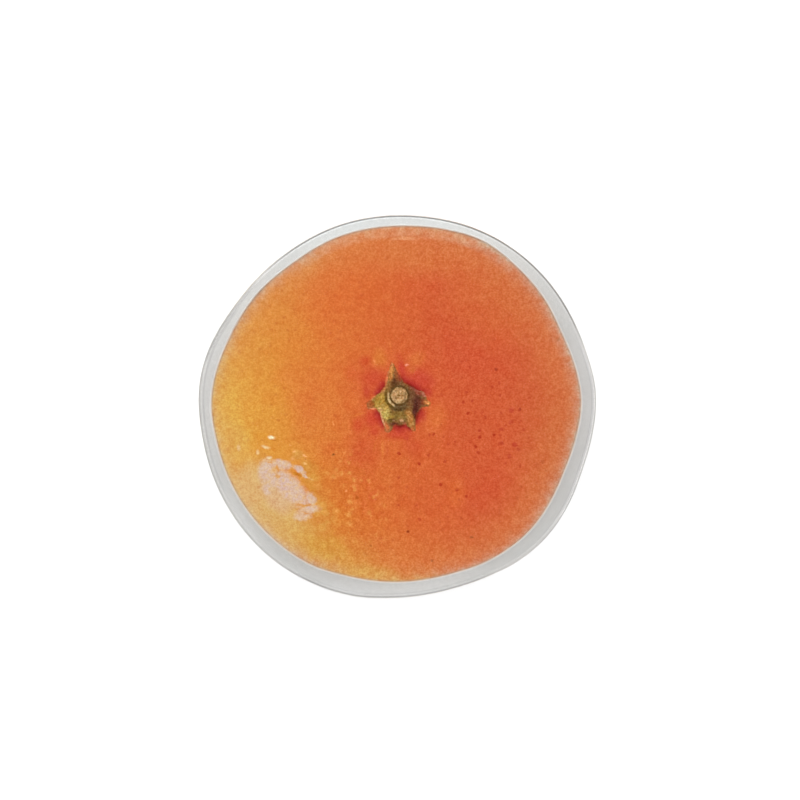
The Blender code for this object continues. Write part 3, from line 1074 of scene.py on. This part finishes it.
def make_picture():
    """The colour layer, close under the plate, with rings that carry the distance to its edge."""
    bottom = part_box("printed_picture")[0].z
    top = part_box("clear_plate")[0].z - FILM_CLEARANCE
    edge = cut_line("printed_picture")
    picture = slab("colour_print", edge, bottom, top)
    add_rings(picture, 1, [shrunk(edge, width) for width in FILM_RINGS])
    add_distance(picture, "rim", edge)
    smooth(picture)
    finish_piece(picture, "printed_picture", picture_material())


def make_white():
    """The white layer behind the colours, which closes round their edge up to the plate."""
    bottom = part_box("white_backing")[0].z
    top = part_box("clear_plate")[0].z - FILM_CLEARANCE
    floor_of_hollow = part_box("printed_picture")[0].z - FILM_CLEARANCE
    white = slab("white_layer", cut_line("white_backing"), bottom, top)
    picture_edge = cut_line("printed_picture")
    add_rings(white, 1, [shrunk(picture_edge, -FILM_CLEARANCE / MM)])
    select_flat(white, 1)
    bpy.ops.mesh.extrude_region_move(
        TRANSFORM_OT_translate={"value": (0.0, 0.0, floor_of_hollow - top)}
    )
    leave_edit_mode()
    turn_faces_out(white)
    smooth(white)
    finish_piece(white, "white_backing", white_ink_material())


def make_tape():
    """The foam pad, a little drawn in at its middle, with its glue up to both neighbours."""
    magnet_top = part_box("disc_magnet")[1].z
    white_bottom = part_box("white_backing")[0].z
    low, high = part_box("tape_pad")
    tape = disc("foam_pad", "tape_pad")
    edit_edges(tape, lambda start, end: abs(start.z - end.z) > LEVEL_TOLERANCE)
    bpy.ops.mesh.subdivide(number_cuts=TAPE_CUTS)
    leave_edit_mode()
    for up, start, end in (
        (1, high.z, white_bottom - FILM_CLEARANCE),
        (-1, low.z, magnet_top + FILM_CLEARANCE),
    ):
        select_flat(tape, up)
        bpy.ops.mesh.extrude_region_move(TRANSFORM_OT_translate={"value": (0.0, 0.0, end - start)})
        leave_edit_mode()
    middle = (low.z + high.z) / 2
    half = (high.z - low.z) / 2
    for vertex in tape.data.vertices:
        share = 1 - min(abs(vertex.co.z - middle) / half, 1) ** 2
        unevenness = noise.noise(vertex.co / TAPE_LUMP)
        drawn_in = TAPE_WAIST * share + TAPE_ROUGHNESS * (1 + unevenness) * (0.3 + share)
        vertex.co.xy *= 1 - drawn_in / vertex.co.xy.length
    smooth(tape)
    finish_piece(tape, "tape_pad", foam_material())


def make_magnet():
    """The disc magnet, with a bevelled rim on both sides and a few small chips in it."""
    low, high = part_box("disc_magnet")
    magnet = disc("ferrite_disc", "disc_magnet")
    round_rim(magnet, high.z, MAGNET_CHAMFER, CHAMFER_STEPS)
    round_rim(magnet, low.z, MAGNET_CHAMFER, CHAMFER_STEPS)
    for vertex in magnet.data.vertices:
        for turn, up, width, depth in CHIPS:
            level = high.z if up else low.z
            centre = Vector((cos(radians(turn)) * high.x, sin(radians(turn)) * high.x, level))
            share = max(1 - (vertex.co - centre).length / (width * MM), 0)
            vertex.co.xy *= 1 - share ** CHIP_FALL * depth * MM / high.x
    smooth(magnet)
    finish_piece(magnet, "disc_magnet", ferrite_material())


# The studio


FLOOR_SIZE = 4.0
FLOOR_SHADE = 0.8
SKY_COLOUR = (0.97, 0.985, 1.0, 1.0)
SKY_STRENGTH = 1.74

# Steps of the sky's strength by height, as from, to, strength below and strength above
SKY_STEPS = (
    (0.15, 0.5, 0.3, 1),
    (0.955, 0.985, SKY_STRENGTH, 0),
)

# Panels of light: azimuth, elevation, distance, width, height and power
PANELS = {
    "key_panel": (120, 50, 0.7, 0.6, 0.6, 2.45),
    "edge_panel": (-14, 30, 0.7, 0.4, 0.25, 0.85),
}

# The camera's lens in millimetres, and the nearest that it sees in metres
LENS_LENGTH = 135.0
LENS_NEAR = 0.01


def make_floor():
    """A plain pale floor."""
    deselect_objects()
    bpy.ops.mesh.primitive_plane_add(size=FLOOR_SIZE, location=(0.0, 0.0, 0.0))
    floor = bpy.context.active_object
    floor.name = "floor"
    paper = Recipe("pale_floor")
    paper.set(Base_Color=(FLOOR_SHADE, FLOOR_SHADE, FLOOR_SHADE, 1.0), Roughness=0.9)
    floor.data.materials.append(paper.material)


def make_sky():
    """Pale light from all round, weak near the horizon, with a dark opening for the camera."""
    world = bpy.data.worlds.new("studio")
    world.use_nodes = True
    tree = world.node_tree
    sky = tree.nodes["Background"]
    sky.inputs["Color"].default_value = SKY_COLOUR
    direction = tree.nodes.new("ShaderNodeTexCoord")
    parts = tree.nodes.new("ShaderNodeSeparateXYZ")
    tree.links.new(direction.outputs["Generated"], parts.inputs[0])
    strength = tree.nodes.new("ShaderNodeMath")
    strength.operation = "MULTIPLY"
    for socket, values in zip(strength.inputs, SKY_STEPS):
        step = tree.nodes.new("ShaderNodeMapRange")
        step.interpolation_type = "SMOOTHSTEP"
        for name, value in zip(("From Min", "From Max", "To Min", "To Max"), values):
            step.inputs[name].default_value = value
        tree.links.new(parts.outputs["Z"], step.inputs["Value"])
        tree.links.new(step.outputs[0], socket)
    tree.links.new(strength.outputs[0], sky.inputs["Strength"])
    bpy.context.scene.world = world


def make_panels():
    """Soft panels of light that face the middle of the plate."""
    for name, (azimuth, elevation, distance, width, height, power) in PANELS.items():
        turn, rise = radians(azimuth), radians(elevation)
        place = Vector((cos(turn) * cos(rise), sin(turn) * cos(rise), sin(rise))) * distance
        lamp = bpy.data.lights.new(name, "AREA")
        lamp.shape = "RECTANGLE"
        lamp.size = width
        lamp.size_y = height
        lamp.energy = power
        item = bpy.data.objects.new(name, lamp)
        item.location = place
        item.rotation_mode = "QUATERNION"
        item.rotation_quaternion = place.to_track_quat("Z", "Y")
        bpy.context.scene.collection.objects.link(item)


def make_camera():
    """Straight above the plate, framed as the photo is."""
    low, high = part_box("clear_plate")
    across = (high.x - low.x) * PHOTO_SIDE / PLATE_ACROSS_IN_PHOTO
    lens = bpy.data.cameras.new("camera")
    lens.lens = LENS_LENGTH
    distance = across * lens.lens / lens.sensor_width
    pixel = across / PHOTO_SIDE
    item = bpy.data.objects.new("camera", lens)
    item.location = (
        (PHOTO_SIDE / 2 - PLATE_MIDDLE_IN_PHOTO[0]) * pixel,
        (PLATE_MIDDLE_IN_PHOTO[1] - PHOTO_SIDE / 2) * pixel,
        high.z + distance,
    )
    lens.clip_start = LENS_NEAR
    bpy.context.scene.collection.objects.link(item)
    bpy.context.scene.camera = item
    bpy.context.scene.view_settings.view_transform = "Standard"


make_plate()
make_picture()
make_white()
make_tape()
make_magnet()
make_floor()
make_sky()
make_panels()
make_camera()
